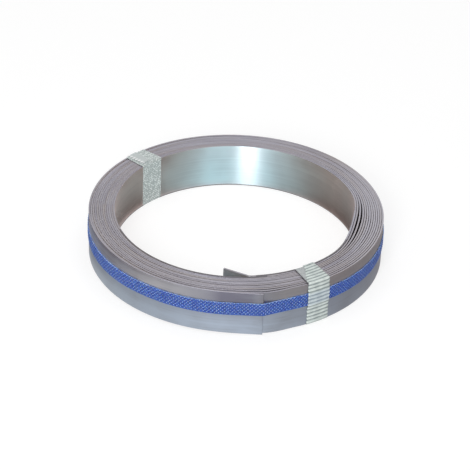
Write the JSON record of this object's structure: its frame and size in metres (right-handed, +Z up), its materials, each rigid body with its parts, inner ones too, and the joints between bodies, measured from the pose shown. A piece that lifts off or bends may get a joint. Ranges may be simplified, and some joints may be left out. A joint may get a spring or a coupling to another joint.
{
  "type": "coil of galvanized steel strap",
  "caption": "Flat coil of plain galvanized steel strap with a free outer end and a bent inner tail, held by a blue plastic band round the outside and white tape ties.",
  "frame": {"origin": "on the coil's axis, at the level of the ties' undersides, on which the coil lies", "axes": "+Z up along the coil's axis, -Y towards the side with the strip's free outer end, +X the way that end points"},
  "size_m": [0.255, 0.256, 0.0422],
  "materials": {
    "galvanized_steel": "bright zinc-coated sheet with faint rolling lines, greyer slit edges",
    "blue_strapping": "embossed polypropylene strapping",
    "white_tape": "ribbed woven tape"
  },
  "bodies": {
    "root": {"strap_coil": "galvanized_steel", "blue_band": "blue_strapping", "tie_front": "white_tape", "tie_back": "white_tape"}
  },
  "joints": []
}
